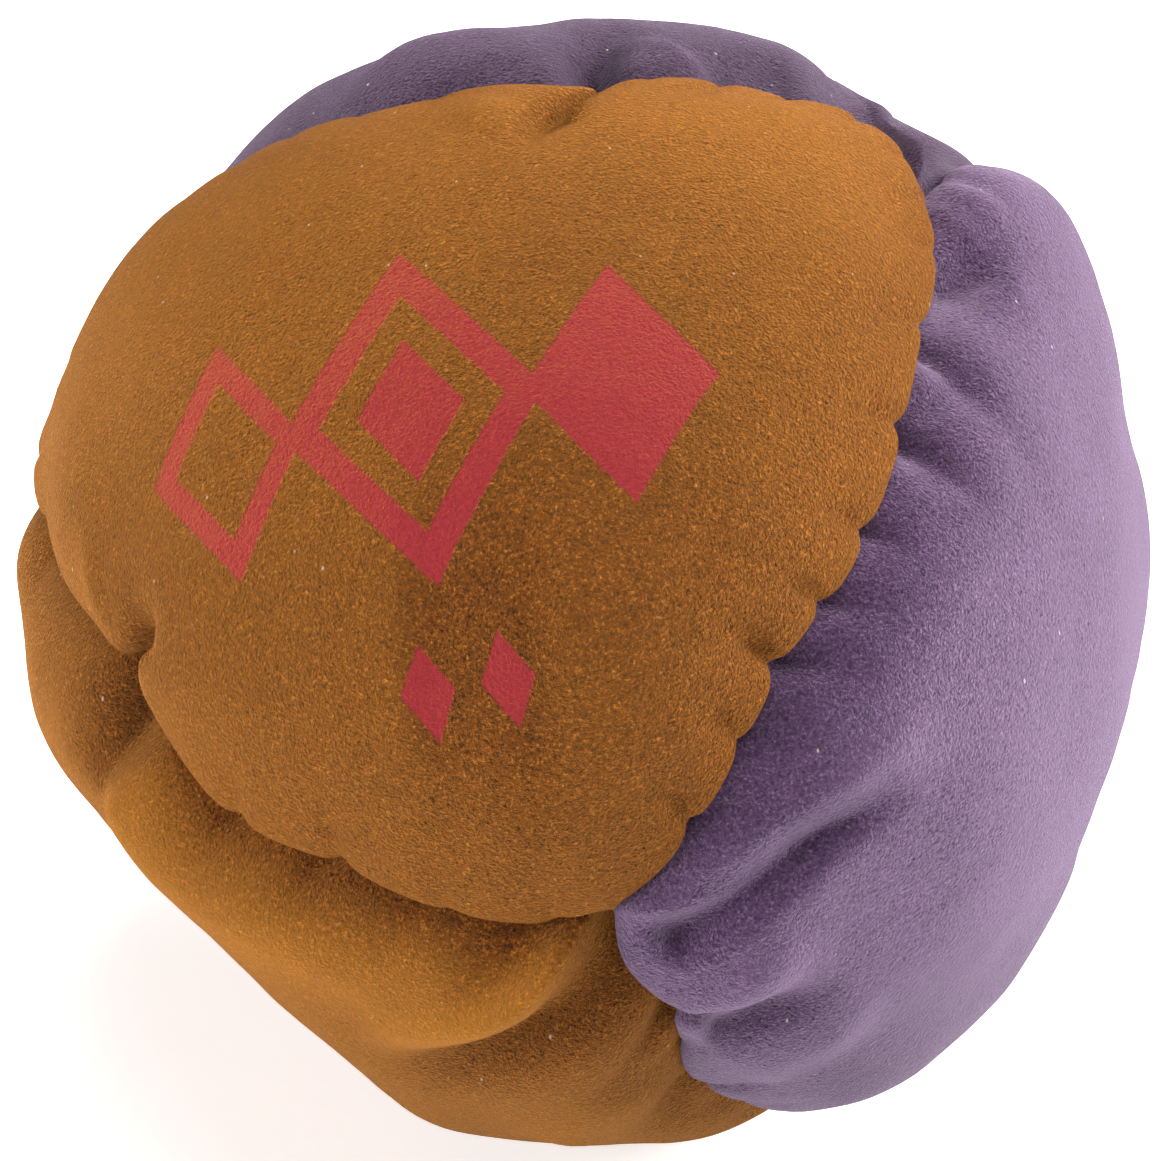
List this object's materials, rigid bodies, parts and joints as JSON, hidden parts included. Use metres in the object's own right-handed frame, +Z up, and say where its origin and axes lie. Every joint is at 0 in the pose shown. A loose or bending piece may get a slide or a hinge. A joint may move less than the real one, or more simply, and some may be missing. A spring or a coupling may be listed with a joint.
{
  "type": "juggling beanbag",
  "caption": "Soft round juggling beanbag sewn from three-sided suede panels over a sand filling, resting on a settled flat patch.",
  "frame": {"origin": "middle of the ball's footprint, on the surface that the ball rests on", "axes": "+Z up, -Y towards the printed tan panel, +X towards the purple right panel"},
  "size_m": [0.0566, 0.0566, 0.0551],
  "materials": {
    "tan_suede": "matte",
    "purple_suede": "matte",
    "sewing_thread": "matte",
    "sand": "matte"
  },
  "bodies": {
    "root": {"tan_front_panel": "tan_suede", "tan_lower_panel": "tan_suede", "purple_right_panel": "purple_suede", "purple_top_panel": "purple_suede", "front_top_seam_thread": "sewing_thread", "right_front_seam_thread": "sewing_thread", "left_front_seam_thread": "sewing_thread", "right_top_seam_thread": "sewing_thread", "right_lower_seam_thread": "sewing_thread", "left_top_seam_thread": "sewing_thread", "closing_thread": "sewing_thread", "sand_fill": "sand"}
  },
  "joints": []
}
